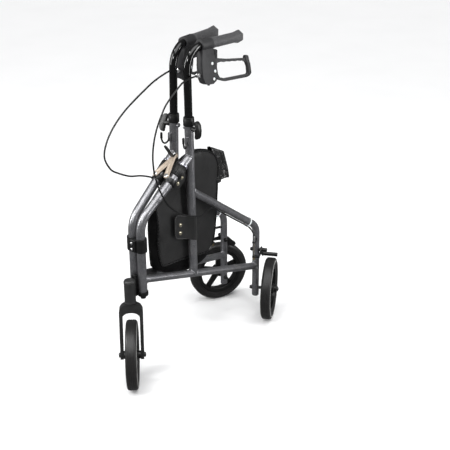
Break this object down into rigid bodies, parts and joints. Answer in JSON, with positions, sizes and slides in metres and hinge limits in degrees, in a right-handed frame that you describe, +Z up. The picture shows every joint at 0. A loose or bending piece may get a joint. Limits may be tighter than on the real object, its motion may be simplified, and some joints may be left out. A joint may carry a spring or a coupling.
{
  "type": "three-wheeled folding rollator walker",
  "caption": "Folding three-wheeled rollator walker with a swivelling front fork, height-adjustable handles, loop brakes and a tall carry bag, standing half folded.",
  "frame": {"origin": "on the floor at the centre of the bounding box, in the walker's middle plane", "axes": "+Z up, -Y forward (the steering head side), +X to the user's left"},
  "size_m": [0.3226, 0.7328, 0.9447],
  "materials": {
    "frame_paint": "hammered metallic grey",
    "gloss_black": "gloss black",
    "grip_rubber": "matt charcoal",
    "black_plastic": "satin black",
    "tyre_rubber": "dark grey",
    "steel": "bright",
    "zinc": "plated",
    "brass": "turned",
    "bag_vinyl": "black vinyl"
  },
  "bodies": {
    "head": {"steering_head": "black_plastic", "head_cap": "black_plastic", "lower_bracket": "black_plastic", "upper_clamp": "black_plastic", "clamp_screw_top": "steel", "clamp_screw_bottom": "steel", "hinge_pin_left": "black_plastic", "hinge_pin_right": "black_plastic", "bag": "bag_vinyl"},
    "fork": {"fork": "black_plastic", "front_axle": "steel"},
    "front_wheel": {"front_tyre": "tyre_rubber", "front_wheel": "black_plastic"},
    "left_frame": {"front_tube_left": "frame_paint", "handle_column_left": "frame_paint", "lower_rail_left": "frame_paint", "rear_tube_left": "frame_paint", "collar_left": "black_plastic", "hook_left": "black_plastic", "link_sleeve_left": "black_plastic", "rear_axle_left": "steel", "brake_bolt_left": "black_plastic", "cable_stop_left": "black_plastic", "brake_cable_left": "black_plastic"},
    "left_rear_wheel": {"rear_tyre_left": "tyre_rubber", "rear_wheel_left": "black_plastic"},
    "left_handle": {"handle_tube_left": "gloss_black", "grip_left": "grip_rubber", "brake_housing_left": "grip_rubber", "lever_pin_left": "steel"},
    "left_lever": {"brake_lever_left": "black_plastic"},
    "left_knob": {"wing_knob_left": "black_plastic"},
    "left_brake": {"brake_arm_left": "black_plastic", "cable_end_left": "brass"},
    "left_link": {"link_left": "zinc", "link_bolt": "steel", "pull_lever": "black_plastic"},
    "right_frame": {"front_tube_right": "frame_paint", "handle_column_right": "frame_paint", "lower_rail_right": "frame_paint", "rear_tube_right": "frame_paint", "collar_right": "black_plastic", "hook_right": "black_plastic", "link_sleeve_right": "black_plastic", "rear_axle_right": "steel", "brake_bolt_right": "black_plastic", "cable_stop_right": "black_plastic", "brake_cable_right": "black_plastic"},
    "right_rear_wheel": {"rear_tyre_right": "tyre_rubber", "rear_wheel_right": "black_plastic"},
    "right_handle": {"handle_tube_right": "gloss_black", "grip_right": "grip_rubber", "brake_housing_right": "grip_rubber", "lever_pin_right": "steel"},
    "right_lever": {"brake_lever_right": "black_plastic"},
    "right_knob": {"wing_knob_right": "black_plastic"},
    "right_brake": {"brake_arm_right": "black_plastic", "cable_end_right": "brass"},
    "right_link": {"link_right": "zinc"}
  },
  "joints": [
    {"name": "fold_left", "type": "hinge", "parent": "head", "child": "left_frame", "pos_m": [0.0145, -0.2225, 0.38], "axis": [0, 0, -1], "range_deg": [-1, 27]},
    {"name": "fold_right", "type": "hinge", "parent": "head", "child": "right_frame", "pos_m": [-0.0145, -0.2225, 0.38], "axis": [0, 0, 1], "range_deg": [-1, 27]},
    {"name": "fork_swivel", "type": "hinge", "parent": "head", "child": "fork", "pos_m": [0, -0.2601, 0.27], "axis": [0, 0, 1], "continuous": true},
    {"name": "front_wheel_spin", "type": "hinge", "parent": "fork", "child": "front_wheel", "pos_m": [0.02231, -0.28576, 0.1], "axis": [-0.7547, -0.6561, 0], "continuous": true},
    {"name": "left_rear_wheel_spin", "type": "hinge", "parent": "left_frame", "child": "left_rear_wheel", "pos_m": [0.10444, 0.27137, 0.1], "axis": [0.891, 0.454, 0], "continuous": true},
    {"name": "right_rear_wheel_spin", "type": "hinge", "parent": "right_frame", "child": "right_rear_wheel", "pos_m": [-0.10444, 0.27137, 0.1], "axis": [0.891, -0.454, 0], "continuous": true},
    {"name": "left_handle_height", "type": "slide", "parent": "left_frame", "child": "left_handle", "axis": [-0.0174, 0.0018, 0.9998], "range_m": [-0.11, 0.02], "deforming": ["brake_cable_left"]},
    {"name": "left_brake_lever_pull", "type": "hinge", "parent": "left_handle", "child": "left_lever", "pos_m": [0.04378, 0.06119, 0.85223], "axis": [0.9836, -0.1034, 0.1478], "range_deg": [0, 14], "stiffness_Nm_per_rad": 0.6, "springref_deg": -8.59},
    {"name": "left_brake_arm_press", "type": "hinge", "parent": "left_frame", "child": "left_brake", "pos_m": [0.07896, 0.25838, 0.237], "axis": [-0.891, -0.454, 0], "range_deg": [0, 4.01]},
    {"name": "left_wing_knob_turn", "type": "hinge", "parent": "left_frame", "child": "left_knob", "pos_m": [0.04738, -0.02586, 0.70678], "axis": [0.9944, -0.1045, 0.0175], "continuous": true},
    {"name": "right_handle_height", "type": "slide", "parent": "right_frame", "child": "right_handle", "axis": [0.0174, 0.0018, 0.9998], "range_m": [-0.11, 0.02], "deforming": ["brake_cable_right"]},
    {"name": "right_brake_lever_pull", "type": "hinge", "parent": "right_handle", "child": "right_lever", "pos_m": [-0.04378, 0.06119, 0.85223], "axis": [0.9836, 0.1034, -0.1478], "range_deg": [0, 14], "stiffness_Nm_per_rad": 0.6, "springref_deg": -8.59},
    {"name": "right_brake_arm_press", "type": "hinge", "parent": "right_frame", "child": "right_brake", "pos_m": [-0.07896, 0.25838, 0.237], "axis": [-0.891, 0.454, 0], "range_deg": [0, 4.01]},
    {"name": "right_wing_knob_turn", "type": "hinge", "parent": "right_frame", "child": "right_knob", "pos_m": [-0.04738, -0.02586, 0.70678], "axis": [0.9944, 0.1045, -0.0175], "continuous": true},
    {"name": "left_link_turn", "type": "hinge", "parent": "left_frame", "child": "left_link", "pos_m": [0.02178, -0.11589, 0.59125], "axis": [-0.0592, -0.5633, 0.8241], "range_deg": [-2.6, 45]},
    {"name": "right_link_turn", "type": "hinge", "parent": "right_frame", "child": "right_link", "pos_m": [-0.02217, -0.11218, 0.58581], "axis": [0.0592, -0.5633, 0.8241], "range_deg": [-45, 2.6]}
  ],
  "couplings": [
    {"joint": "fold_right", "follows": "fold_left", "ratio": 1},
    {"joint": "left_link_turn", "follows": "fold_left", "ratio": 1.65},
    {"joint": "right_link_turn", "follows": "fold_left", "ratio": -1.65},
    {"joint": "left_brake_arm_press", "follows": "left_brake_lever_pull", "ratio": 0.286},
    {"joint": "right_brake_arm_press", "follows": "right_brake_lever_pull", "ratio": 0.286}
  ]
}
